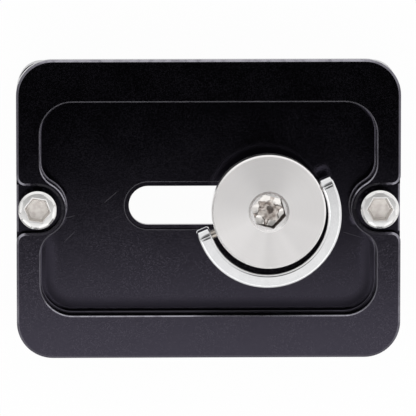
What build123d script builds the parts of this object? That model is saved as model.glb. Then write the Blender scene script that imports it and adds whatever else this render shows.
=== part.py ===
"""Compact dovetail quick release plate for a tripod head, lying on its camera side.

+Z points out of the clamp side, +X runs along the dovetail and the slot. Z = 0 is the plane of the
rubber pads that meet the camera, and the captive camera screw is pushed up until its tip is level
with them. Lengths are in millimetres, angles in degrees.
"""

import os
from math import radians, tan

from build123d import *

# Plate: a dovetail bar with rounded corners, widest at the rim that the clamp's bed meets
plate_length = 50.0
plate_width = 39.0
plate_height = 10.0
corner_radius = 4.7
rim_chamfer = 0.3
lip_height = 1.3
flank_depth = 2.8
waist_round = 0.4
flange_thickness = 3.9
flange_inset = 0.8
flange_corner_round = 3.0
camera_edge_chamfer = 0.5

# Pocket that takes the screw head and its folded ring
pocket_depth = 4.2
pocket_wall_end = 3.1
pocket_wall_side = 5.55
pocket_corner_radius = 4.2
pocket_edge_chamfer = 0.15
pocket_floor_round = 0.5

# Stop screws, one in an open notch at each end
stop_from_end = 2.75
stop_head_diameter = 5.0
stop_head_height = 3.0
stop_head_proud = 1.3
stop_head_chamfer = 0.3
stop_socket_flats = 2.95
stop_socket_depth = 1.6
stop_socket_taper = 10.0
stop_thread_diameter = 3.0
stop_thread_length = 5.0
stop_left_turn = -8.5
stop_right_turn = 0.0
stop_thread_clearance = 0.02
stop_hole_spare = 0.5
notch_clearance = 0.6
notch_wall = 0.65
notch_blend = 3.0
notch_mouth_round = 1.2
notch_lip_chamfer = 0.25

# Camera screw: a flat round head, a thin neck and a short thread
screw_travel = 15.4
thread_diameter = 6.35
thread_length = 4.25
thread_tip_chamfer = 0.7
thread_reach = 4.4
neck_diameter = 4.9
head_diameter = 14.8
head_thickness = 3.0
head_chamfer = 0.35
head_under_chamfer = 0.2
socket_flats = 4.0
socket_depth = 1.8
socket_sink = 0.35
socket_turn = -14.0
socket_drill_diameter = 2.6
socket_drill_angle = 118.0
tip_clearance = 0.05

# Slot: a shallow ledge in the pocket floor, a narrow land that holds the neck, a wide channel below
slot_side_clearance = 0.1
slot_end_clearance = 0.2
ledge_width = 0.55
ledge_depth = 0.6
ledge_chamfer = 0.12
land_thickness = 1.6
channel_clearance = 0.825
channel_chamfer = 0.3

# Washer on the pocket floor and square-cut soft ring in the underside of the head
washer_diameter = 11.0
washer_thickness = 0.4
washer_clearance = 0.1
seat_gap = 0.1
soft_ring_section = 0.8
soft_ring_clearance = 0.05

# Folding ring and the two pins that it turns on
ring_turn = 23.0
ring_droop = 4.0
ring_gap = 0.35
ring_strip = 1.75
ring_height = 2.6
ring_set_out = 0.4
ring_edge_chamfer = 0.2
ring_play = 0.25
pin_diameter = 1.1
pin_depth = 2.0
pin_running_clearance = 0.04
pin_seat_clearance = 0.01
pin_end_recess = 0.35

# Ribbed rubber pads let into the camera face
pad_thickness = 1.2
pad_proud = 0.3
pad_border = 1.8
pad_corner_radius = 1.5
pad_clearance = 0.05
pad_rib_count = 5
pad_groove_width = 0.7
pad_groove_depth = 0.35

# Places closer than this count as the same when edges and faces are chosen
same_place = 0.01

# Levels, counted up from the plane of the pads
camera_face = pad_proud
rim = camera_face + plate_height
pocket_floor = rim - pocket_depth
land_under = pocket_floor - land_thickness
notch_floor = rim + stop_head_proud - stop_head_height
thread_top = tip_clearance + thread_length
head_seated = pocket_floor + washer_thickness + seat_gap
head_under = head_seated + thread_reach
head_top = head_under + head_thickness
hinge_height = head_under + head_thickness / 2

# Plan sizes
half_length = plate_length / 2
half_width = plate_width / 2
waist_half_width = half_width - flank_depth
flange_half_width = half_width - flange_inset
flange_top = camera_face + flange_thickness
pocket_length = plate_length - 2 * pocket_wall_end
pocket_width = plate_width - 2 * pocket_wall_side
stop_x = half_length - stop_from_end
notch_radius = stop_head_diameter / 2 + notch_clearance
bump_radius = notch_radius + notch_wall
screw_x = screw_travel / 2
slot_width = neck_diameter + 2 * slot_side_clearance
slot_length = screw_travel + neck_diameter + 2 * slot_end_clearance
channel_width = thread_diameter + 2 * channel_clearance
channel_length = screw_travel + channel_width
ring_inner_radius = head_diameter / 2 + ring_gap
ring_outer_radius = ring_inner_radius + ring_strip
ring_radius = ring_inner_radius + ring_strip / 2
eye_radius = ring_height / 2
pad_inner_edge = channel_width / 2 + pad_border
pad_outer_edge = flange_half_width - pad_border
pad_width = pad_outer_edge - pad_inner_edge
pad_length = plate_length - 2 * pad_border
pad_middle = (pad_outer_edge + pad_inner_edge) / 2
pad_rib_pitch = pad_width / pad_rib_count

# The camera screw's own axis and section, and the ring's hinge: its X runs through both pins
screw_axis = Axis((screw_x, 0, 0), (0, 0, 1))
screw_section = Plane(origin=(screw_x, 0, 0), x_dir=(1, 0, 0), z_dir=(0, -1, 0))
hinge_plane = Plane(origin=(screw_x, 0, hinge_height), z_dir=(0, 0, 1)).rotated((0, 0, ring_turn))
hinge_axis = Axis(hinge_plane.origin, hinge_plane.x_dir)
across_hinge = Plane(hinge_plane.origin, x_dir=hinge_plane.y_dir, z_dir=hinge_plane.x_dir)
hinge_section = Plane(hinge_plane.origin, x_dir=hinge_plane.x_dir, z_dir=-hinge_plane.y_dir)

os.makedirs("parts", exist_ok=True)


def at(value, place):
    """Tell whether a coordinate lies at a place, on either side of the middle."""
    return abs(abs(value) - place) < same_place


def save(solid, name):
    """Label a finished piece and write it under its own name."""
    solid.label = name
    export_step(solid, f"parts/{name}.step")


with BuildPart() as plate_body:
    # Dovetail section, drawn across the plate and carried along it
    with BuildSketch(Plane.YZ):
        with BuildLine():
            Polyline(
                (0, camera_face),
                (flange_half_width, camera_face),
                (flange_half_width, flange_top),
                (waist_half_width, flange_top),
                (waist_half_width, rim - lip_height - flank_depth),
                (half_width, rim - lip_height),
                (half_width, rim),
                (0, rim),
            )
            mirror(about=Plane.YZ)
        make_face()
    extrude(amount=half_length, both=True)
    waist_edges = plate_body.edges().filter_by(Axis.X)
    fillet(waist_edges.filter_by(lambda e: at(e.center().Y, waist_half_width)), waist_round)

    # Rounded corners, eased again on the narrower flange
    with BuildSketch(Plane.XY.offset(camera_face)):
        RectangleRounded(plate_length, plate_width, corner_radius)
    extrude(amount=plate_height, mode=Mode.INTERSECT)
    flange_corners = plate_body.edges().filter_by(Axis.Z)
    flange_corners = flange_corners.filter_by(lambda e: at(e.center().Y, flange_half_width))
    fillet(flange_corners, flange_corner_round)
    chamfer(plate_body.edges().group_by(Axis.Z)[0], camera_edge_chamfer)

    # Open notch for each stop screw's head, with its mouth rounded off
    with BuildSketch(Plane.XY.offset(rim)):
        for side in (-1, 1):
            with Locations((side * stop_x, 0)):
                Circle(notch_radius)
            with Locations((side * (stop_x + stop_from_end / 2), 0)):
                Rectangle(stop_from_end, 2 * notch_radius)
            with Locations((side * (half_length + notch_radius / 2), 0)):
                Rectangle(notch_radius, 4 * notch_radius)
        mouths = vertices().filter_by(lambda v: at(v.X, half_length) and at(v.Y, notch_radius))
        fillet(mouths, notch_mouth_round)
    extrude(amount=notch_floor - rim, mode=Mode.SUBTRACT)
    chamfer(plate_body.faces().sort_by(Axis.Z)[-1].outer_wire().edges(), rim_chamfer)
    with BuildSketch(Plane.XZ):
        with Locations((-half_length, notch_floor), (half_length, notch_floor)):
            Rectangle(notch_lip_chamfer * 2**0.5, notch_lip_chamfer * 2**0.5, rotation=45)
    extrude(amount=notch_radius, both=True, mode=Mode.SUBTRACT)

    # Pocket whose end walls swing in round the stop screws
    with BuildSketch(Plane.XY.offset(pocket_floor)):
        RectangleRounded(pocket_length, pocket_width, pocket_corner_radius)
        with Locations((-stop_x, 0), (stop_x, 0)):
            Circle(bump_radius, mode=Mode.SUBTRACT)
        fillet(vertices().filter_by(lambda v: abs(v.Y) < bump_radius), notch_blend)
    extrude(amount=pocket_depth, mode=Mode.SUBTRACT)
    rim_face = plate_body.faces().filter_by(Axis.Z).sort_by(Axis.Z)[-1]
    chamfer(rim_face.inner_wires().edges(), pocket_edge_chamfer)
    floor_face = plate_body.faces().filter_by(Axis.Z).filter_by(lambda f: at(f.center().Z, pocket_floor))
    fillet(floor_face[0].outer_wire().edges(), pocket_floor_round)

    # Stepped slot, wide at the pocket floor, narrow in the land and widest on the camera side
    with BuildSketch(Plane.XY.offset(pocket_floor)):
        SlotOverall(slot_length + 2 * ledge_width, slot_width + 2 * ledge_width)
    extrude(amount=-ledge_depth, mode=Mode.SUBTRACT)
    ledge_edges = plate_body.edges().filter_by(lambda e: at(e.center().Z, pocket_floor))
    chamfer(ledge_edges.filter_by(lambda e: abs(e.center().Y) < slot_width), ledge_chamfer)
    with BuildSketch(Plane.XY.offset(camera_face)):
        SlotOverall(slot_length, slot_width)
    extrude(amount=plate_height, mode=Mode.SUBTRACT)
    with BuildSketch(Plane.XY.offset(camera_face)):
        SlotOverall(channel_length, channel_width)
    extrude(amount=land_under - camera_face, mode=Mode.SUBTRACT)
    channel_edges = plate_body.edges().group_by(Axis.Z)[0]
    chamfer(channel_edges.filter_by(lambda e: abs(e.center().Y) < channel_width), channel_chamfer)

    # Seats for the pads in the camera face
    with BuildSketch(Plane.XY.offset(camera_face)):
        with Locations((0, -pad_middle), (0, pad_middle)):
            RectangleRounded(pad_length, pad_width, pad_corner_radius)
    extrude(amount=pad_thickness - pad_proud, mode=Mode.SUBTRACT)

    # Blind holes that the stop screws are driven into
    with Locations((-stop_x, 0, notch_floor), (stop_x, 0, notch_floor)):
        Hole(
            stop_thread_diameter / 2 + stop_thread_clearance,
            depth=stop_thread_length + stop_hole_spare,
        )
save(plate_body.part, "plate_body")

with BuildPart() as camera_screw:
    # Head, neck and thread turned in one piece, with a groove for the soft ring under the head
    groove_radius = neck_diameter / 2 + soft_ring_section + 2 * soft_ring_clearance
    groove_roof = head_under + soft_ring_section + 2 * soft_ring_clearance
    with BuildSketch(screw_section):
        with BuildLine():
            Polyline(
                (0, tip_clearance),
                (thread_diameter / 2 - thread_tip_chamfer, tip_clearance),
                (thread_diameter / 2, tip_clearance + thread_tip_chamfer),
                (thread_diameter / 2, thread_top),
                (neck_diameter / 2, thread_top),
                (neck_diameter / 2, groove_roof),
                (groove_radius, groove_roof),
                (groove_radius, head_under),
                (head_diameter / 2 - head_under_chamfer, head_under),
                (head_diameter / 2, head_under + head_under_chamfer),
                (head_diameter / 2, head_top - head_chamfer),
                (head_diameter / 2 - head_chamfer, head_top),
                (0, head_top),
                close=True,
            )
        make_face()
    revolve(axis=screw_axis)

    # Hexagon socket with a sunk mouth and the point of the drill in its floor
    socket_corner_radius = socket_flats / 3**0.5
    socket_floor = head_top - socket_depth
    drill_radius = socket_drill_diameter / 2
    drill_point = drill_radius / tan(radians(socket_drill_angle / 2))
    with BuildSketch(Plane((screw_x, 0, head_top))):
        RegularPolygon(socket_corner_radius, 6, rotation=socket_turn)
    extrude(amount=-socket_depth, mode=Mode.SUBTRACT)
    with BuildSketch(screw_section):
        with BuildLine():
            Polyline(
                (0, socket_floor),
                (0, socket_floor - drill_point),
                (drill_radius, socket_floor),
                close=True,
            )
        make_face()
        with BuildLine():
            Polyline(
                (0, head_top),
                (0, head_top - socket_sink),
                (socket_corner_radius, head_top - socket_sink),
                (socket_corner_radius + socket_sink, head_top),
                close=True,
            )
        make_face()
    revolve(axis=screw_axis, mode=Mode.SUBTRACT)

    # Blind cross holes that hold the ring's pins
    for side in (-1, 1):
        with BuildSketch(across_hinge.offset(side * (head_diameter / 2 - pin_depth))):
            Circle(pin_diameter / 2 + pin_seat_clearance)
        extrude(amount=side * pin_depth, mode=Mode.SUBTRACT)
save(camera_screw.part, "camera_screw")

with BuildPart() as slot_washer:
    with BuildSketch(Plane((screw_x, 0, pocket_floor))):
        Circle(washer_diameter / 2)
        Circle(neck_diameter / 2 + washer_clearance, mode=Mode.SUBTRACT)
    extrude(amount=washer_thickness)
save(slot_washer.part, "slot_washer")

with BuildPart() as soft_ring:
    with BuildSketch(screw_section):
        middle = soft_ring_clearance + soft_ring_section / 2
        with Locations((neck_diameter / 2 + middle, head_under + middle)):
            Rectangle(soft_ring_section, soft_ring_section)
    revolve(axis=screw_axis)
save(soft_ring.part, "soft_ring")

with BuildPart() as d_ring:
    # Half-round strip on two short legs, a section with broken edges carried round from hinge to hinge
    with BuildLine(hinge_plane):
        Line((-ring_radius, 0), (-ring_radius, -ring_set_out))
        ThreePointArc(
            (-ring_radius, -ring_set_out),
            (0, -ring_set_out - ring_radius),
            (ring_radius, -ring_set_out),
        )
        Line((ring_radius, -ring_set_out), (ring_radius, 0))
    with BuildSketch(hinge_section):
        with Locations((-ring_radius, 0)):
            Rectangle(ring_strip, ring_height)
        chamfer(vertices(), ring_edge_chamfer)
    sweep()
    # Round eye at the end of each leg: the lower half of the same section, turned about the hinge
    with BuildSketch(hinge_section):
        with Locations((-ring_radius, 0), (ring_radius, 0)):
            Rectangle(ring_strip, ring_height)
        chamfer(vertices(), ring_edge_chamfer)
        with Locations((0, -eye_radius / 2)):
            Rectangle(2 * ring_outer_radius, eye_radius, mode=Mode.INTERSECT)
    revolve(axis=hinge_axis, revolution_arc=180)
    with BuildSketch(across_hinge):
        Circle(pin_diameter / 2 + pin_running_clearance)
    extrude(amount=ring_outer_radius, both=True, mode=Mode.SUBTRACT)
# Folded, the ring hangs a little below its hinge, and it has slid along the pins to the left
hung_ring = d_ring.part.rotate(hinge_axis, ring_droop)
save(hung_ring.moved(Location(-ring_play * hinge_plane.x_dir)), "d_ring")

for side, name in ((-1, "ring_pin_left"), (1, "ring_pin_right")):
    with BuildPart() as ring_pin:
        pin_inner_end = head_diameter / 2 - pin_depth
        with BuildSketch(across_hinge.offset(side * pin_inner_end)):
            Circle(pin_diameter / 2)
        extrude(amount=side * (ring_outer_radius - pin_end_recess - pin_inner_end))
    save(ring_pin.part, name)

for x, turn, name in (
    (-stop_x, stop_left_turn, "stop_screw_left"),
    (stop_x, stop_right_turn, "stop_screw_right"),
):
    with BuildPart() as stop_screw:
        stop_head_top = notch_floor + stop_head_height
        stop_corner_radius = stop_socket_flats / 3**0.5
        with BuildSketch(Plane((x, 0, notch_floor))):
            Circle(stop_head_diameter / 2)
        extrude(amount=stop_head_height)
        chamfer(stop_screw.edges().group_by(Axis.Z)[-1], stop_head_chamfer)
        with BuildSketch(Plane((x, 0, notch_floor))):
            Circle(stop_thread_diameter / 2)
        extrude(amount=-stop_thread_length)
        with BuildSketch(Plane((x, 0, stop_head_top))):
            RegularPolygon(stop_corner_radius, 6, rotation=turn)
        extrude(amount=-stop_socket_depth, taper=stop_socket_taper, mode=Mode.SUBTRACT)
    save(stop_screw.part, name)

for side, name in ((-1, "rubber_pad_front"), (1, "rubber_pad_back")):
    with BuildPart() as rubber_pad:
        with BuildSketch(Plane((0, side * pad_middle, 0))):
            RectangleRounded(
                pad_length - 2 * pad_clearance,
                pad_width - 2 * pad_clearance,
                pad_corner_radius - pad_clearance,
            )
        extrude(amount=pad_thickness)
        with BuildSketch(Plane.YZ):
            with Locations((side * pad_middle, 0)):
                with GridLocations(pad_rib_pitch, 0, pad_rib_count - 1, 1):
                    Rectangle(pad_groove_width, 2 * pad_groove_depth)
        extrude(amount=half_length, both=True, mode=Mode.SUBTRACT)
    save(rubber_pad.part, name)
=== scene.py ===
from math import atan2, cos, hypot, pi, radians, sin, tan

import bpy
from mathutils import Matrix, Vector, kdtree, noise


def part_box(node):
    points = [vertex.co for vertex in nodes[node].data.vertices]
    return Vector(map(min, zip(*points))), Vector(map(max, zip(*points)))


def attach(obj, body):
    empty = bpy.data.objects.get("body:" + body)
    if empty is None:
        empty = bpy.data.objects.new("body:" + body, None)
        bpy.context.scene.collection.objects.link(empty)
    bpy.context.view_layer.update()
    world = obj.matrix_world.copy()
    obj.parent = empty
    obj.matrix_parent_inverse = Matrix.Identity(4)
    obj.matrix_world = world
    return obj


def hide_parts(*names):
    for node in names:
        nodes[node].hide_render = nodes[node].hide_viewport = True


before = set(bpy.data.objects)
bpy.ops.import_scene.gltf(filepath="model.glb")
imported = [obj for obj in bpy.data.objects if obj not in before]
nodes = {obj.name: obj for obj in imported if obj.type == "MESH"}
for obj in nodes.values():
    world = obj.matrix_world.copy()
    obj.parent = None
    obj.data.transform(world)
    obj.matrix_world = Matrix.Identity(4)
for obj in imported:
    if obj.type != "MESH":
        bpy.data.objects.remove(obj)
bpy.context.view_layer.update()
MM = 0.001


# Plate: a dovetail bar milled from aluminium, bead blasted and anodised black.
# The film is worn to grey metal on the broken edges, where clamps and hands rub, and that grey also serves as
# a painted highlight along them.
# The end mill leaves only a tiny round where the pocket's floor meets its walls.
def new_finish(name):
    """Start a node material; return it with its tree, its shader and its texture coordinates."""
    material = bpy.data.materials.new(name)
    material.use_nodes = True
    tree = material.node_tree
    return material, tree, tree.nodes["Principled BSDF"], tree.nodes.new("ShaderNodeTexCoord")


def feed(tree, socket, value):
    """Join a socket to another one, or set it to a plain value."""
    if isinstance(value, bpy.types.NodeSocket):
        tree.links.new(value, socket)
    else:
        socket.default_value = value


def calc(tree, operation, *values):
    """Add a Math node and return its result."""
    node = tree.nodes.new("ShaderNodeMath")
    node.operation = operation
    for socket, value in zip(node.inputs, values):
        feed(tree, socket, value)
    return node.outputs[0]


def times(tree, first, *others):
    """Multiply several values."""
    for other in others:
        first = calc(tree, "MULTIPLY", first, other)
    return first


def rest_of(tree, share):
    """What a share leaves of one."""
    return calc(tree, "SUBTRACT", 1.0, share)


def span(tree, x, y):
    """Length of the line whose sides are x and y."""
    return calc(tree, "SQRT", calc(tree, "ADD", calc(tree, "POWER", x, 2.0), calc(tree, "POWER", y, 2.0)))


def vector_calc(tree, operation, *values):
    """Add a Vector Math node and return the output that the operation fills."""
    node = tree.nodes.new("ShaderNodeVectorMath")
    node.operation = operation
    for socket, value in zip(node.inputs, values):
        feed(tree, socket, value)
    return node.outputs["Value" if operation in ("DOT_PRODUCT", "LENGTH") else "Vector"]


def rise(tree, value, low, high, bottom=0.0, top=1.0):
    """Go smoothly from bottom to top while the value goes from low to high."""
    node = tree.nodes.new("ShaderNodeMapRange")
    node.interpolation_type = "SMOOTHSTEP"
    feed(tree, node.inputs["Value"], value)
    for name, number in (("From Min", low), ("From Max", high), ("To Min", bottom), ("To Max", top)):
        node.inputs[name].default_value = number
    return node.outputs["Result"]


def grain(tree, place, size, detail=2.0):
    """Noise from 0 to 1 whose patches are about size metres across."""
    node = tree.nodes.new("ShaderNodeTexNoise")
    feed(tree, node.inputs["Vector"], place)
    node.inputs["Scale"].default_value = 1 / size
    node.inputs["Detail"].default_value = detail
    return node.outputs["Fac"]


def mix_colour(tree, share, first, second):
    """Blend two colours by a share from 0 to 1."""
    node = tree.nodes.new("ShaderNodeMix")
    node.data_type = "RGBA"
    feed(tree, node.inputs[0], share)
    feed(tree, node.inputs[6], first)
    feed(tree, node.inputs[7], second)
    return node.outputs[2]


def roughen(tree, shader, height, strength, depth):
    """Tilt the surface by a height pattern that is depth metres deep."""
    node = tree.nodes.new("ShaderNodeBump")
    node.inputs["Strength"].default_value = strength
    node.inputs["Distance"].default_value = depth
    feed(tree, node.inputs["Height"], height)
    feed(tree, shader.inputs["Normal"], node.outputs["Normal"])


def axes_of(tree, vector):
    """Return the X, Y and Z of a vector as three sockets."""
    node = tree.nodes.new("ShaderNodeSeparateXYZ")
    feed(tree, node.inputs[0], vector)
    return node.outputs


def scratch(tree, place, start, end, width):
    """Mark a straight scratch between two points of the plan, strongest at its middle."""
    run = Vector((end[0] - start[0], end[1] - start[1], 0)) * MM
    from_start = vector_calc(tree, "SUBTRACT", place, Vector((start[0], start[1], 0)) * MM)
    flat = vector_calc(tree, "MULTIPLY", from_start, (1, 1, 0))
    along = calc(tree, "DIVIDE", vector_calc(tree, "DOT_PRODUCT", flat, run), run.length_squared)
    across = vector_calc(tree, "CROSS_PRODUCT", flat, run.normalized())
    offset = vector_calc(tree, "LENGTH", across)
    line = rise(tree, offset, 0.3 * width, width, 1.0, 0.0)
    return times(tree, line, rise(tree, along, 0.0, 0.3), rise(tree, along, 0.7, 1.0, 1.0, 0.0))


def deselect():
    """Leave no object selected."""
    bpy.ops.object.select_all(action="DESELECT")


def pick(piece):
    """Select one object alone and make it the active one."""
    deselect()
    piece.select_set(True)
    bpy.context.view_layer.objects.active = piece


def copy_of(node, name):
    """Copy a CAD node as a closed mesh of its own, ready to be worked on."""
    pick(nodes[node])
    bpy.ops.object.duplicate()
    piece = bpy.context.view_layer.objects.active
    piece.name = name
    piece.data.name = name
    bpy.ops.mesh.customdata_custom_splitnormals_clear()
    bpy.ops.object.mode_set(mode="EDIT")
    bpy.ops.mesh.select_all(action="SELECT")
    bpy.ops.mesh.remove_doubles(threshold=0.0005 * MM)
    bpy.ops.object.mode_set(mode="OBJECT")
    return piece


def shade(piece):
    """Shade the active piece smooth, with its flat faces kept flat and its sharp edges sharp."""
    bpy.ops.object.shade_smooth_by_angle(angle=radians(35))
    bpy.ops.object.modifier_add(type="WEIGHTED_NORMAL")
    piece.modifiers["WeightedNormal"].keep_sharp = True
    bpy.ops.object.modifier_apply(modifier="WeightedNormal")


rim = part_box("plate_body")[1].z
half_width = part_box("plate_body")[1].y
half_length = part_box("plate_body")[1].x
stop_head_radius = 2.5 * MM
stop_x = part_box("stop_screw_right")[1].x - stop_head_radius
pocket_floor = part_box("slot_washer")[0].z
end_wall = 3.1 * MM
side_wall = 5.55 * MM
pocket_half_length = half_length - end_wall
pocket_half_width = half_width - side_wall
pocket_corner = 4.2 * MM
notch_radius = 3.55 * MM
modelled_round = 0.5 * MM
milled_round = 0.15 * MM
near = 0.02 * MM
level = 0.005 * MM
black_film = (0.0004, 0.0004, 0.0005, 1)
black_film_dusty = (0.028, 0.0255, 0.0305, 1)
# Grey of the worn edges, which also stands in for their highlights as painted highlight.
worn_edge_and_highlight_grey = (0.34, 0.33, 0.37, 1)
worn_metal = 0.9
edge_wear_and_highlight = 0.45
back_edge_wear_and_highlight = 0.55
bump_wear_and_highlight = 0.5
pocket_front_wear_and_highlight = 0.6
mouth_wear_and_highlight = 0.9
notch_shelter = 0.85
lip_shelter = 0.5
scratch_grey = (0.05, 0.048, 0.052, 1)
corner_highlight_grey = (0.3, 0.29, 0.32, 1)
film_tint = (0.80, 0.73, 1.0, 1)
film_gloss = 0.82
satin_low = 0.13
satin_high = 0.15
satin_grain = 0.03
dull_band_rise = 0.42
clear_strip_drop = 0.04
blast_size = 0.15 * MM
blast_depth = 0.02 * MM
blast_strength = 0.2
cloud_size = 5 * MM
worn_patch_size = 0.8 * MM
scratch_width = 0.07 * MM
scratch_ends = (
    ((17.3, -3.4), (20.6, -4.4)),
    ((-19.0, -4.9), (-17.2, -3.2)),
    ((-13.8, 0.2), (-11.6, 2.1)),
    ((-19.1, -1.7), (-17.1, -1.2)),
)

anodised, tree, shader, coords = new_finish("satin_black_anodised")
place = coords.outputs["Object"]
across_x, across_y, height = axes_of(tree, place)
up = axes_of(tree, coords.outputs["Normal"])[2]
blast = grain(tree, place, blast_size, 1.0)
cloud = grain(tree, place, cloud_size, 3.0)
from_middle_x = calc(tree, "ABSOLUTE", across_x)
from_middle_y = calc(tree, "ABSOLUTE", across_y)
to_stop = span(tree, calc(tree, "SUBTRACT", from_middle_x, stop_x), from_middle_y)
past_x = calc(tree, "SUBTRACT", from_middle_x, pocket_half_length - pocket_corner)
past_y = calc(tree, "SUBTRACT", from_middle_y, pocket_half_width - pocket_corner)
past_corner = span(tree, calc(tree, "MAXIMUM", past_x, 0.0), calc(tree, "MAXIMUM", past_y, 0.0))
past_edges = calc(tree, "MINIMUM", calc(tree, "MAXIMUM", past_x, past_y), 0.0)
to_wall = calc(tree, "SUBTRACT", pocket_corner, calc(tree, "ADD", past_corner, past_edges))

# Worn to metal and painted highlight: the broken edges of the rim, the slot and the end lips, graded by place
# to stand in for their highlights, most at the back and least along the front edge.
broken_edge = times(tree, rise(tree, up, 0.45, 0.6), rise(tree, up, 0.84, 0.94, 1.0, 0.0))
at_rim = calc(tree, "GREATER_THAN", height, rim - 0.35 * MM)
at_slot = calc(tree, "LESS_THAN", height, pocket_floor)
at_end = calc(tree, "GREATER_THAN", from_middle_x, half_length - 0.3 * MM)
at_lip = times(tree, at_end, calc(tree, "GREATER_THAN", height, pocket_floor + 1 * MM))
edge_place = calc(tree, "MAXIMUM", calc(tree, "MAXIMUM", at_rim, at_slot), at_lip)
behind_front = rise(tree, across_y, -half_width + 0.5 * MM, -half_width + 5 * MM, 0.0, edge_wear_and_highlight)
at_back = rise(tree, across_y, half_width - 0.5 * MM, half_width - 0.2 * MM, 0.0, back_edge_wear_and_highlight)
at_bump = times(
    tree,
    rise(tree, to_stop, 4.5 * MM, 6 * MM, bump_wear_and_highlight, 0.0),
    calc(tree, "GREATER_THAN", across_y, 0.0),
    calc(tree, "LESS_THAN", from_middle_x, stop_x),
)
in_notch = calc(tree, "LESS_THAN", to_stop, notch_radius)
at_pocket_front = times(
    tree,
    rise(tree, across_y, -pocket_half_width - 1.2 * MM, -pocket_half_width - 0.6 * MM),
    rise(tree, across_y, -pocket_half_width + 0.4 * MM, -pocket_half_width + 4 * MM, pocket_front_wear_and_highlight, 0.0),
)
at_mouth = times(
    tree,
    rise(tree, from_middle_x, half_length - 1.3 * MM, half_length - 1 * MM),
    rise(tree, from_middle_y, 4.3 * MM, 5.0 * MM, mouth_wear_and_highlight, 0.0),
)
rubbed_and_highlight = calc(tree, "ADD", calc(tree, "ADD", behind_front, at_back), at_bump)
rubbed_and_highlight = times(tree, rubbed_and_highlight, rest_of(tree, times(tree, in_notch, notch_shelter)))
rubbed_and_highlight = calc(tree, "MAXIMUM", calc(tree, "ADD", rubbed_and_highlight, at_pocket_front), at_mouth)
rubbed_and_highlight = times(tree, rubbed_and_highlight, rest_of(tree, times(tree, at_lip, lip_shelter)))
worn_patches = rise(tree, grain(tree, place, worn_patch_size), 0.25, 0.6, 0.6, 1.0)
wear_and_highlight = times(tree, broken_edge, edge_place, rubbed_and_highlight, worn_patches)

# Dust specks, more towards the front, with painted shade beside the pocket's walls, where the specks are left
# out, and a painted highlight line in their corner.
below_rim = calc(tree, "LESS_THAN", height, rim - 0.3 * MM)
# Painted shade: no dust beside the pocket's walls, so the floor there stays darker.
painted_wall_shade = times(tree, below_rim, rise(tree, to_wall, 0.3 * MM, 2.2 * MM, 1.0, 0.0))
more_towards_front = rise(tree, across_y, -8 * MM, 4 * MM, 1.0, 0.1)
uneven = rise(tree, cloud, 0.35, 0.65, 0.7, 1.0)
dust = times(tree, rise(tree, blast, 0.4, 0.75), more_towards_front, uneven, rest_of(tree, painted_wall_shade))
colour = mix_colour(tree, dust, black_film, black_film_dusty)
# Painted highlight: a grey line in the corner where the pocket's floor meets its walls, brighter by the stops
# and towards the back.
painted_corner_highlight = times(
    tree,
    rise(tree, height, pocket_floor + 0.005 * MM, pocket_floor + 0.03 * MM),
    rise(tree, height, pocket_floor + 0.11 * MM, pocket_floor + 0.16 * MM, 1.0, 0.0),
    calc(tree, "GREATER_THAN", to_wall, -0.1 * MM),
    rise(tree, to_stop, 5 * MM, 7.5 * MM, 1.0, 0.3),
    rise(tree, across_y, -2 * MM, 2 * MM, 0.5, 1.0),
)
colour = mix_colour(tree, painted_corner_highlight, colour, corner_highlight_grey)
scratches = 0.0
for start, end in scratch_ends:
    scratches = calc(tree, "MAXIMUM", scratches, scratch(tree, place, start, end, scratch_width))
colour = mix_colour(tree, scratches, colour, scratch_grey)
# Worn grey metal on the broken edges, which is also a painted highlight.
colour = mix_colour(tree, wear_and_highlight, colour, worn_edge_and_highlight_grey)
feed(tree, shader.inputs["Base Color"], colour)
feed(tree, shader.inputs["Metallic"], times(tree, wear_and_highlight, worn_metal))

# Satin: the cutter's last pass leaves a clear strip along the pocket's front and a dull band beside it.
satin = rise(tree, cloud, 0.3, 0.7, satin_low, satin_high)
satin = calc(tree, "ADD", satin, rise(tree, blast, 0.3, 0.7, -satin_grain, satin_grain))
past_strip = rise(tree, to_wall, 0.5 * MM, 0.9 * MM)
dull_band = times(tree, rise(tree, to_wall, 0.9 * MM, 2.6 * MM, dull_band_rise, 0.0), past_strip)
last_pass = calc(tree, "ADD", dull_band, times(tree, rest_of(tree, past_strip), -clear_strip_drop))
at_front = rise(tree, across_y, -7 * MM, -2 * MM, 1.0, 0.0)
on_floor = calc(tree, "LESS_THAN", height, pocket_floor + 0.05 * MM)
feed(tree, shader.inputs["Roughness"], calc(tree, "ADD", satin, times(tree, last_pass, at_front, on_floor)))
shader.inputs["Specular IOR Level"].default_value = film_gloss
shader.inputs["Specular Tint"].default_value = film_tint
roughen(tree, shader, blast, blast_strength, blast_depth)

plate = copy_of("plate_body", "milled_plate")
wall_foot = kdtree.KDTree(len(plate.data.vertices))
for vertex in plate.data.vertices:
    over_length = abs(vertex.co.x) < pocket_half_length + near
    over_width = abs(vertex.co.y) < pocket_half_width + near
    if over_length and over_width and abs(vertex.co.z - pocket_floor - modelled_round) < level:
        wall_foot.insert((vertex.co.x, vertex.co.y, 0), vertex.index)
wall_foot.balance()
for vertex in plate.data.vertices:
    if abs(vertex.co.z - pocket_floor - modelled_round / 2) < modelled_round / 2 + level:
        foot, _, away = wall_foot.find((vertex.co.x, vertex.co.y, 0))
        if away < modelled_round + near:
            vertex.co.xy = foot.xy + (vertex.co.xy - foot.xy) * milled_round / modelled_round
            vertex.co.z = pocket_floor + (vertex.co.z - pocket_floor) * milled_round / modelled_round
shade(plate)
plate.data.materials[0] = anodised
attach(plate, "plate")
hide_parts("plate_body")


# Stop screws: stainless socket-head screws driven into the end notches to catch the clamp.
# Their heads are forged a little domed, with a bright chamfer and a rounded edge to the hexagon.
def round_edges(piece, width, segments, sharper_than):
    """Round every edge of the active piece that turns by more than an angle in degrees."""
    bpy.ops.object.modifier_add(type="BEVEL")
    bevel = piece.modifiers["Bevel"]
    bevel.width = width
    bevel.segments = segments
    bevel.angle_limit = radians(sharper_than)
    bpy.ops.object.modifier_apply(modifier="Bevel")
    shade(piece)


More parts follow.
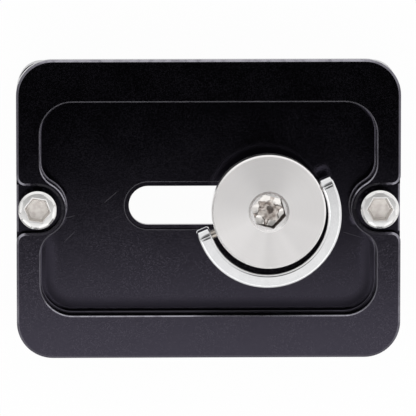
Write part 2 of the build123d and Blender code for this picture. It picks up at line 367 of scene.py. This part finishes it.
def steel_finish(name, colour, face_roughness, edge_roughness, mark_size):
    """Bare stainless steel with fine tool marks, its level faces duller than its edges."""
    material, tree, shader, coords = new_finish(name)
    place = coords.outputs["Object"]
    marks = grain(tree, place, mark_size, 2.0)
    patches = grain(tree, place, 1.5 * MM, 2.0)
    darker = tuple(0.96 * c for c in colour) + (1,)
    patchy = mix_colour(tree, rise(tree, patches, 0.35, 0.65), darker, colour + (1,))
    feed(tree, shader.inputs["Base Color"], patchy)
    shader.inputs["Metallic"].default_value = 1.0
    steepness = calc(tree, "ABSOLUTE", axes_of(tree, coords.outputs["Normal"])[2])
    gloss = rise(tree, steepness, 0.9, 0.985, edge_roughness, face_roughness)
    feed(tree, shader.inputs["Roughness"], calc(tree, "ADD", gloss, rise(tree, marks, 0.3, 0.7, -0.03, 0.03)))
    roughen(tree, shader, marks, 0.03, 0.01 * MM)
    return material


def select_none(mode):
    """Leave nothing of the active piece selected, so that its faces or edges can be picked in code."""
    bpy.ops.object.mode_set(mode="EDIT")
    bpy.ops.mesh.select_all(action="DESELECT")
    bpy.ops.mesh.select_mode(type=mode)
    bpy.ops.object.mode_set(mode="OBJECT")


stop_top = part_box("stop_screw_left")[1].z
stop_face_inside = 1.9 * MM
stop_chamfer_reach = 0.35 * MM
stop_dome_fall = 0.08 * MM
stop_hexagon_side = 1.73 * MM
stop_hexagon_round = 0.16 * MM
stop_colour = (0.84, 0.83, 0.82)
# Painted shade: the socket's walls get a darker steel than its floor.
shaded_socket_wall_steel = (0.72, 0.70, 0.68, 1)
struck_steel = (0.92, 0.89, 0.87, 1)
struck_steel_bright = (1.0, 0.98, 0.96, 1)
struck_patch_size = 0.9 * MM
socket_dullness = 0.5

stop_steel = steel_finish(
    "stop_screw_steel", stop_colour, face_roughness=0.40, edge_roughness=0.14, mark_size=0.12 * MM
)
tree = stop_steel.node_tree
shader = tree.nodes["Principled BSDF"]
coords = tree.nodes["Texture Coordinate"]
place = coords.outputs["Object"]
across_x, across_y, height = axes_of(tree, place)
to_stop = span(tree, calc(tree, "SUBTRACT", calc(tree, "ABSOLUTE", across_x), stop_x), across_y)
in_socket = times(
    tree,
    rise(tree, height, stop_top - 0.6 * MM, stop_top - 0.3 * MM, 1.0, 0.0),
    calc(tree, "LESS_THAN", to_stop, stop_face_inside),
)
steepness = calc(tree, "ABSOLUTE", axes_of(tree, coords.outputs["Normal"])[2])
struck = rise(tree, grain(tree, place, struck_patch_size, 2.0), 0.35, 0.6)
struck_floor = mix_colour(tree, struck, struck_steel, struck_steel_bright)
# Painted shade on the socket's walls, by their steepness.
socket_colour = mix_colour(tree, rise(tree, steepness, 0.5, 0.8), shaded_socket_wall_steel, struck_floor)
face_colour = shader.inputs["Base Color"].links[0].from_socket
face_gloss = shader.inputs["Roughness"].links[0].from_socket
feed(tree, shader.inputs["Base Color"], mix_colour(tree, in_socket, face_colour, socket_colour))
feed(tree, shader.inputs["Roughness"], calc(tree, "ADD", face_gloss, times(tree, in_socket, socket_dullness)))
for side in ("left", "right"):
    node = f"stop_screw_{side}"
    stop_low, stop_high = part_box(node)
    stop_middle = (stop_low + stop_high) / 2
    stop = copy_of(node, f"domed_stop_screw_{side}")
    for vertex in stop.data.vertices:
        outside = (vertex.co - stop_middle).to_2d().length > stop_face_inside
        if outside and vertex.co.z > stop_high.z - stop_chamfer_reach:
            vertex.co.z -= stop_dome_fall
    select_none("EDGE")
    for edge in stop.data.edges:
        ends = [stop.data.vertices[index].co for index in edge.vertices]
        on_top = all(end.z > stop_high.z - near for end in ends)
        inside = all((end - stop_middle).to_2d().length < stop_face_inside for end in ends)
        long_side = abs((ends[0] - ends[1]).length - stop_hexagon_side) < 0.1 * MM
        edge.select = on_top and inside and long_side
    bpy.ops.object.mode_set(mode="EDIT")
    bpy.ops.mesh.bevel(offset=stop_hexagon_round, segments=3, clamp_overlap=False)
    bpy.ops.object.mode_set(mode="OBJECT")
    round_edges(stop, width=0.02 * MM, segments=2, sharper_than=65)
    stop.data.materials[0] = stop_steel
    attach(stop, "plate")
    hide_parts(node)


# Pads: ribbed strips of black rubber, moulded and let into the camera face.
# The mould leaves every rib with a small round edge.
def join_flat_faces():
    """Join the triangles of the active piece into flat faces."""
    bpy.ops.object.mode_set(mode="EDIT")
    bpy.ops.mesh.dissolve_limited(angle_limit=radians(0.5))
    bpy.ops.object.mode_set(mode="OBJECT")


rubber_black = (0.013, 0.013, 0.013, 1)
rubber_dusty = (0.022, 0.0215, 0.021, 1)
rubber, tree, shader, coords = new_finish("moulded_black_rubber")
place = coords.outputs["Object"]
skin = grain(tree, place, 0.25 * MM, 3.0)
dust = rise(tree, grain(tree, place, 3 * MM, 3.0), 0.4, 0.75)
feed(tree, shader.inputs["Base Color"], mix_colour(tree, dust, rubber_black, rubber_dusty))
feed(tree, shader.inputs["Roughness"], rise(tree, skin, 0.3, 0.7, 0.62, 0.74))
roughen(tree, shader, skin, 0.3, 0.03 * MM)
for side in ("front", "back"):
    node = f"rubber_pad_{side}"
    pad = copy_of(node, f"moulded_pad_{side}")
    join_flat_faces()
    round_edges(pad, width=0.12 * MM, segments=3, sharper_than=40)
    pad.data.materials[0] = rubber
    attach(pad, "plate")
    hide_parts(node)


# Washer and soft ring: a thin black plastic washer slides on the pocket floor, and a square-cut
# rubber ring in the underside of the head grips it when the screw is tight.
plastic_black = (0.012, 0.012, 0.012, 1)
plastic_grey = (0.02, 0.02, 0.02, 1)
washer_plastic, tree, shader, coords = new_finish("washer_plastic")
place = coords.outputs["Object"]
moulded = grain(tree, place, 0.6 * MM)
feed(tree, shader.inputs["Base Color"], mix_colour(tree, moulded, plastic_black, plastic_grey))
feed(tree, shader.inputs["Roughness"], rise(tree, grain(tree, place, 0.2 * MM), 0.3, 0.7, 0.42, 0.52))
nodes["slot_washer"].data.materials[0] = washer_plastic
nodes["soft_ring"].data.materials[0] = rubber


# Camera screw: turned from stainless bar in one piece, with a flat disc head, a thin neck and a
# quarter-inch thread. The hexagon socket is drilled and broached, and its floor is left torn.
screw_low, screw_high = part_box("camera_screw")
screw_x = (screw_low.x + screw_high.x) / 2
axis_point = Vector((screw_x, 0, 0))
head_top = screw_high.z
head_radius = (screw_high.x - screw_low.x) / 2
head_edge = 6.9 * MM
head_edge_depth = 0.4 * MM
crown_fall = 0.1 * MM
edge_break = 0.22 * MM
under_edge_break = 0.03 * MM
thread_pitch = 25.4 / 20 * MM
thread_radius = 6.35 / 2 * MM
thread_root_radius = 2.5 * MM
thread_flat = 0.16 * MM
thread_half_angle = radians(30)
thread_cut_overrun = 1.2
thread_turns = 5
thread_steps = 72
socket_floor = head_top - 1.8 * MM
socket_reach = 2.4 * MM
socket_flat = 2.0 * MM
socket_turn = radians(-14)
drill_radius = 1.3 * MM
drill_slope = 0.55
facet_place = 2.0 * MM
facet_radius = 0.78 * MM
facet_slope = 0.26
tear_size = 0.7 * MM
tear_depth = 0.2 * MM
fine_tear_size = 0.45 * tear_size
fine_tear_share = 0.5
floor_cuts = 15

screw = copy_of("camera_screw", "threaded_camera_screw")
cut_rise = (thread_radius - thread_root_radius) * thread_cut_overrun
cut_half = thread_flat / 2 + cut_rise * tan(thread_half_angle)
profile = bpy.data.meshes.new("thread_cutter")
profile.from_pydata(
    [
        (thread_root_radius, 0, -thread_flat / 2),
        (thread_root_radius + cut_rise, 0, -cut_half),
        (thread_root_radius + cut_rise, 0, cut_half),
        (thread_root_radius, 0, thread_flat / 2),
    ],
    [(0, 1), (1, 2), (2, 3), (3, 0)],
    [],
)
cutter = bpy.data.objects.new("thread_cutter", profile)
bpy.context.scene.collection.objects.link(cutter)
cutter.location = (screw_x, 0, screw_low.z - thread_pitch)
pick(cutter)
bpy.ops.object.modifier_add(type="SCREW")
helix = cutter.modifiers["Screw"]
helix.axis = "Z"
helix.screw_offset = thread_pitch
helix.iterations = thread_turns
helix.steps = thread_steps
helix.render_steps = thread_steps
bpy.ops.object.modifier_apply(modifier="Screw")
bpy.ops.object.transform_apply(location=True)
bpy.ops.object.mode_set(mode="EDIT")
bpy.ops.mesh.select_all(action="SELECT")
bpy.ops.mesh.remove_doubles(threshold=0.001 * MM)
bpy.ops.mesh.fill_holes(sides=4)
bpy.ops.mesh.select_all(action="SELECT")
bpy.ops.mesh.normals_make_consistent(inside=False)
bpy.ops.object.mode_set(mode="OBJECT")
pick(screw)
bpy.ops.object.modifier_add(type="BOOLEAN")
thread_cut = screw.modifiers["Boolean"]
thread_cut.operation = "DIFFERENCE"
thread_cut.solver = "EXACT"
thread_cut.object = cutter
bpy.ops.object.modifier_apply(modifier="Boolean")
bpy.data.objects.remove(cutter)

select_none("FACE")
for face in screw.data.polygons:
    in_reach = (face.center - axis_point).to_2d().length < socket_reach
    low_down = socket_floor - 1.1 * MM < face.center.z < socket_floor + 0.05 * MM
    face.select = in_reach and low_down and face.normal.z > 0.3
bpy.ops.object.mode_set(mode="EDIT")
bpy.ops.mesh.delete(type="FACE")
bpy.ops.mesh.select_mode(type="EDGE")
bpy.ops.mesh.select_non_manifold(
    extend=False, use_wire=False, use_multi_face=False, use_non_contiguous=False, use_verts=False
)
bpy.ops.mesh.edge_face_add()
bpy.ops.mesh.poke()
bpy.ops.mesh.subdivide(number_cuts=floor_cuts)
bpy.ops.object.mode_set(mode="OBJECT")
for vertex in screw.data.vertices:
    from_axis = (vertex.co - axis_point).to_2d()
    reach = from_axis.length
    if reach < socket_reach and abs(vertex.co.z - socket_floor) < near:
        drilled = max(0, drill_radius - reach) * drill_slope
        raised = max(0, reach - drill_radius) * facet_slope
        turned = (atan2(from_axis.y, from_axis.x) - socket_turn + pi / 6) % (pi / 3) - pi / 6
        from_facet = hypot(reach * cos(turned) - facet_place, reach * sin(turned))
        torn_share = min(1, max(0.1, 3 * (from_facet / facet_radius - 0.8)))
        tear = noise.noise(vertex.co / tear_size) + fine_tear_share * noise.noise(vertex.co / fine_tear_size)
        vertex.co.z += raised - drilled + torn_share * tear_depth * tear
    if reach > head_edge and vertex.co.z > head_top - head_edge_depth:
        if vertex.co.z < head_top - 0.1 * MM:
            vertex.co.z = head_top - edge_break
        else:
            vertex.co.xy = axis_point.xy + from_axis * (head_radius - edge_break) / reach
        vertex.co.z -= crown_fall
    elif head_edge < reach < head_radius - 0.05 * MM:
        vertex.co.xy = axis_point.xy + from_axis * (head_radius - under_edge_break) / reach
bpy.ops.object.shade_smooth_by_angle(angle=radians(28))

turned_dark = (0.88, 0.86, 0.855, 1)
turned_bright = (0.94, 0.92, 0.915, 1)
torn_dark = (0.36, 0.31, 0.28, 1)
torn_bright = (0.72, 0.67, 0.63, 1)
facet_steel = (0.84, 0.81, 0.78, 1)
# Near black of the painted shade in the socket.
socket_shade_dark = (0.05, 0.04, 0.035, 1)
ring_mark_size = 0.15 * MM
ring_mark_depth = 0.002 * MM
feed_tilt = 0.18
ring_stretch = 0.9
across_rings = 0.25
pit_shade_place = (0.25 * MM, 0.15 * MM, 0)
wall_shade_bands = ((-44, 0.34 * MM), (16, 0.12 * MM), (256, 0.12 * MM))

turned_steel, tree, shader, coords = new_finish("turned_stainless_steel")
place = coords.outputs["Object"]
radial = vector_calc(tree, "MULTIPLY", vector_calc(tree, "SUBTRACT", place, axis_point), (1, 1, 0))
radial_x, radial_y, _ = axes_of(tree, radial)
radius = vector_calc(tree, "LENGTH", radial)
height = axes_of(tree, place)[2]
steepness = calc(tree, "ABSOLUTE", axes_of(tree, coords.outputs["Normal"])[2])
rings = tree.nodes.new("ShaderNodeTexNoise")
rings.noise_dimensions = "1D"
feed(tree, rings.inputs["W"], radius)
rings.inputs["Scale"].default_value = 1 / ring_mark_size
rings.inputs["Detail"].default_value = 3.0
ring_marks = rings.outputs["Fac"]
in_socket = times(
    tree,
    calc(tree, "LESS_THAN", radius, socket_reach),
    rise(tree, height, socket_floor + 0.3 * MM, socket_floor + 0.6 * MM, 1.0, 0.0),
)

# Socket: six bright facets left by the broach on a torn floor, with painted shade at the foot of three of the
# walls, round the facets and in a pit.
wobble = times(tree, calc(tree, "SUBTRACT", grain(tree, place, 0.9 * MM), 0.5), 1.1 * MM)
bearing = calc(tree, "SUBTRACT", calc(tree, "ARCTAN2", radial_y, radial_x), socket_turn)
turned = calc(tree, "WRAP", bearing, pi / 6, -pi / 6)
facet_x = calc(tree, "SUBTRACT", times(tree, radius, calc(tree, "COSINE", turned)), facet_place)
facet_y = times(tree, radius, calc(tree, "SINE", turned))
from_facet = calc(tree, "ADD", span(tree, facet_x, facet_y), wobble)
on_facet = rise(tree, from_facet, facet_radius - 0.05 * MM, facet_radius + 0.02 * MM, 1.0, 0.0)
from_outline = calc(tree, "ABSOLUTE", calc(tree, "SUBTRACT", from_facet, facet_radius + 0.05 * MM))
facet_outline_shade = times(
    tree,
    rise(tree, from_outline, 0.03 * MM, 0.1 * MM, 0.8, 0.0),
    rise(tree, grain(tree, place, 1.1 * MM), 0.4, 0.55),
)
to_pit = vector_calc(tree, "LENGTH", vector_calc(tree, "SUBTRACT", radial, pit_shade_place))
pit_shade = rise(tree, calc(tree, "ADD", to_pit, wobble), 0.3 * MM, 0.6 * MM, 0.85, 0.0)
torn = rise(tree, grain(tree, place, 0.6 * MM, 3.0), 0.35, 0.65)
socket_steel = mix_colour(tree, torn, torn_dark, torn_bright)
socket_steel = mix_colour(tree, on_facet, socket_steel, facet_steel)
socket_steel = mix_colour(tree, facet_outline_shade, socket_steel, socket_shade_dark)
socket_steel = mix_colour(tree, pit_shade, socket_steel, socket_shade_dark)
for wall_bearing, shade_width in wall_shade_bands:
    wall_side = (cos(radians(wall_bearing)), sin(radians(wall_bearing)), 0)
    from_wall = calc(tree, "SUBTRACT", socket_flat, vector_calc(tree, "DOT_PRODUCT", radial, wall_side))
    ragged = calc(tree, "ADD", from_wall, times(tree, wobble, 0.4))
    wall_shade = rise(tree, ragged, 0.7 * shade_width, shade_width, 1.0, 0.0)
    socket_steel = mix_colour(tree, wall_shade, socket_steel, socket_shade_dark)

# Turned face: fine rings round the axis, which stretch every highlight into two fans.
steel = mix_colour(tree, ring_marks, turned_dark, turned_bright)
feed(tree, shader.inputs["Base Color"], mix_colour(tree, in_socket, steel, socket_steel))
shader.inputs["Metallic"].default_value = 1.0
flat = times(tree, rise(tree, steepness, 0.9, 0.985), rest_of(tree, in_socket))
sectors = grain(tree, vector_calc(tree, "NORMALIZE", radial), 0.6, 2.0)
turned_gloss = rise(tree, ring_marks, 0.3, 0.7, 0.47, 0.53)
turned_gloss = calc(tree, "ADD", turned_gloss, rise(tree, sectors, 0.3, 0.7, -0.04, 0.04))
cut_gloss = rise(tree, in_socket, 0.0, 1.0, 0.18, 0.32)
gloss = tree.nodes.new("ShaderNodeMix")
feed(tree, gloss.inputs[0], flat)
feed(tree, gloss.inputs[2], cut_gloss)
feed(tree, gloss.inputs[3], turned_gloss)
feed(tree, shader.inputs["Roughness"], gloss.outputs[0])
shader.inputs["Anisotropic"].default_value = ring_stretch
shader.inputs["Anisotropic Rotation"].default_value = across_rings
tangent = tree.nodes.new("ShaderNodeTangent")
tangent.direction_type = "RADIAL"
tangent.axis = "Z"
feed(tree, shader.inputs["Tangent"], tangent.outputs["Tangent"])
feed_marks = times(tree, radius, flat, -feed_tilt)
feed_marks = calc(tree, "ADD", feed_marks, rise(tree, ring_marks, 0.3, 0.7, 0.0, ring_mark_depth))
roughen(tree, shader, feed_marks, 1.0, 1.0)
screw.data.materials[0] = turned_steel
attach(screw, "screw")
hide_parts("camera_screw")


# Ring and pins: a half-round strip of polished stainless steel that lies round the head and
# swings up on two short pins pressed into the head's edge.
ring_flat_area = 30 * MM**2
ring_flat_round = 0.13 * MM
ring_colour = (0.80, 0.80, 0.81)
pin_colour = (0.45, 0.41, 0.37)
ring_steel = steel_finish(
    "polished_ring_steel", ring_colour, face_roughness=0.16, edge_roughness=0.12, mark_size=0.1 * MM
)
ring = copy_of("d_ring", "polished_ring")
join_flat_faces()
select_none("FACE")
for face in ring.data.polygons:
    face.select = face.area > ring_flat_area
bpy.ops.object.mode_set(mode="EDIT")
bpy.ops.mesh.region_to_loop()
bpy.ops.mesh.bevel(offset=ring_flat_round, segments=4, clamp_overlap=False)
bpy.ops.object.mode_set(mode="OBJECT")
round_edges(ring, width=0.02 * MM, segments=2, sharper_than=40)
ring.data.materials[0] = ring_steel
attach(ring, "ring")
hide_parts("d_ring")
pin_steel = steel_finish(
    "drawn_pin_steel", pin_colour, face_roughness=0.3, edge_roughness=0.3, mark_size=0.1 * MM
)
for name in ("ring_pin_left", "ring_pin_right"):
    nodes[name].data.materials[0] = pin_steel


# Floor: a plain white table top that keeps a faint shadow of the plate.
# Seen directly or in the steel it is white, also through the slot.
floor_size = 3.0
table_white = (0.92, 0.92, 0.92, 1)
seen_white = 0.97
deselect()
bpy.ops.mesh.primitive_plane_add(size=floor_size, location=(0, 0, 0))
floor = bpy.context.view_layer.objects.active
floor.name = "floor"
paper = bpy.data.materials.new("white_table")
paper.use_nodes = True
tree = paper.node_tree
tree.nodes.clear()
matt = tree.nodes.new("ShaderNodeBsdfDiffuse")
matt.inputs["Color"].default_value = table_white
glow = tree.nodes.new("ShaderNodeEmission")
glow.inputs["Color"].default_value = (1, 1, 1, 1)
seen = tree.nodes.new("ShaderNodeLightPath")
direct = calc(tree, "MAXIMUM", seen.outputs["Is Camera Ray"], seen.outputs["Is Glossy Ray"])
direct = calc(tree, "MAXIMUM", direct, seen.outputs["Is Transmission Ray"])
mixed = tree.nodes.new("ShaderNodeMixShader")
feed(tree, mixed.inputs[0], times(tree, direct, seen_white))
feed(tree, mixed.inputs[1], matt.outputs["BSDF"])
feed(tree, mixed.inputs[2], glow.outputs["Emission"])
output = tree.nodes.new("ShaderNodeOutputMaterial")
feed(tree, output.inputs["Surface"], mixed.outputs["Shader"])
floor.data.materials.append(paper)


# Light: a white tent with two dark openings overhead, the first of them for the camera, and dimmer
# low down at the front left. One soft panel hangs above the front of the plate and fades out
# towards the plate's middle.
tent_front = 1.2
tent_back = 0.95
openings = (
    ((0.02, -0.09, 1), 15, 25, 0.0),
    ((0.02, 0.36, 1), 13, 25, 0.2),
)
back_right = (0.45, 0.9, 0)
horizon_dim = 0.35
horizon_bright = 1.08
world = bpy.data.worlds.new("light_tent")
bpy.context.scene.world = world
world.use_nodes = True
tree = world.node_tree
background = tree.nodes["Background"]
background.inputs["Color"].default_value = (1, 1, 1, 1)
direction = tree.nodes.new("ShaderNodeTexCoord").outputs["Generated"]
_, to_back, upwards = axes_of(tree, direction)
tent = rise(tree, to_back, -0.5, 0.3, tent_front, tent_back)
for opening_axis, dark_within, bright_beyond, light_left in openings:
    towards = vector_calc(tree, "DOT_PRODUCT", direction, Vector(opening_axis).normalized())
    shaded = rise(tree, towards, cos(radians(bright_beyond)), cos(radians(dark_within)), 1.0, light_left)
    tent = times(tree, tent, shaded)
to_back_right = vector_calc(tree, "DOT_PRODUCT", direction, back_right)
horizon = rise(tree, to_back_right, -0.6, 0.6, horizon_dim, horizon_bright)
low_down = rise(tree, upwards, 0.15, 0.35, 1.0, 0.0)
tent = calc(tree, "ADD", times(tree, tent, rest_of(tree, low_down)), times(tree, horizon, low_down))
seen_directly = tree.nodes.new("ShaderNodeLightPath").outputs["Is Camera Ray"]
feed(tree, background.inputs["Strength"], calc(tree, "MAXIMUM", tent, seen_directly))

panel_height = 180 * MM
panel_back = -6 * MM
panel_full = -40 * MM
panel_front = -110 * MM
panel_width = 170 * MM
panel_x = 8 * MM
panel_radiance = 1.0
fade_power = 2.4
panel = bpy.data.lights.new("front_panel", "AREA")
panel.shape = "RECTANGLE"
panel.size = panel_width
panel.size_y = panel_back - panel_front
panel.energy = panel_radiance * panel.size * panel.size_y * pi
panel.use_nodes = True
tree = panel.node_tree
lamp_place = tree.nodes.new("ShaderNodeNewGeometry").outputs["Position"]
across_panel = tree.nodes.new("ShaderNodeMapRange")
feed(tree, across_panel.inputs["Value"], axes_of(tree, lamp_place)[1])
across_panel.inputs["From Min"].default_value = panel_back
across_panel.inputs["From Max"].default_value = panel_full
fade = calc(tree, "POWER", across_panel.outputs["Result"], fade_power)
feed(tree, tree.nodes["Emission"].inputs["Strength"], fade)
hung = bpy.data.objects.new("front_panel", panel)
bpy.context.scene.collection.objects.link(hung)
hung.location = (panel_x, (panel_back + panel_front) / 2, panel_height)
hung.visible_camera = False


# Camera: a long lens above the plate, a little towards its back left.
# Its place, tilt and length are fitted to the plate's outline in the picture.
camera_place = (-18, 77.061, 700)
camera_tilt = (-6.3604, -1.4867)
focal_pixels = 5339.4
image_pixels = 416
lens = bpy.data.cameras.new("camera")
lens.sensor_width = 36
lens.lens = focal_pixels / image_pixels * lens.sensor_width
lens.clip_start = 0.01
camera = bpy.data.objects.new("camera", lens)
bpy.context.scene.collection.objects.link(camera)
camera.location = Vector(camera_place) * MM
camera.rotation_euler = (radians(camera_tilt[0]), radians(camera_tilt[1]), 0)
bpy.context.scene.camera = camera
bpy.context.scene.view_settings.view_transform = "Standard"
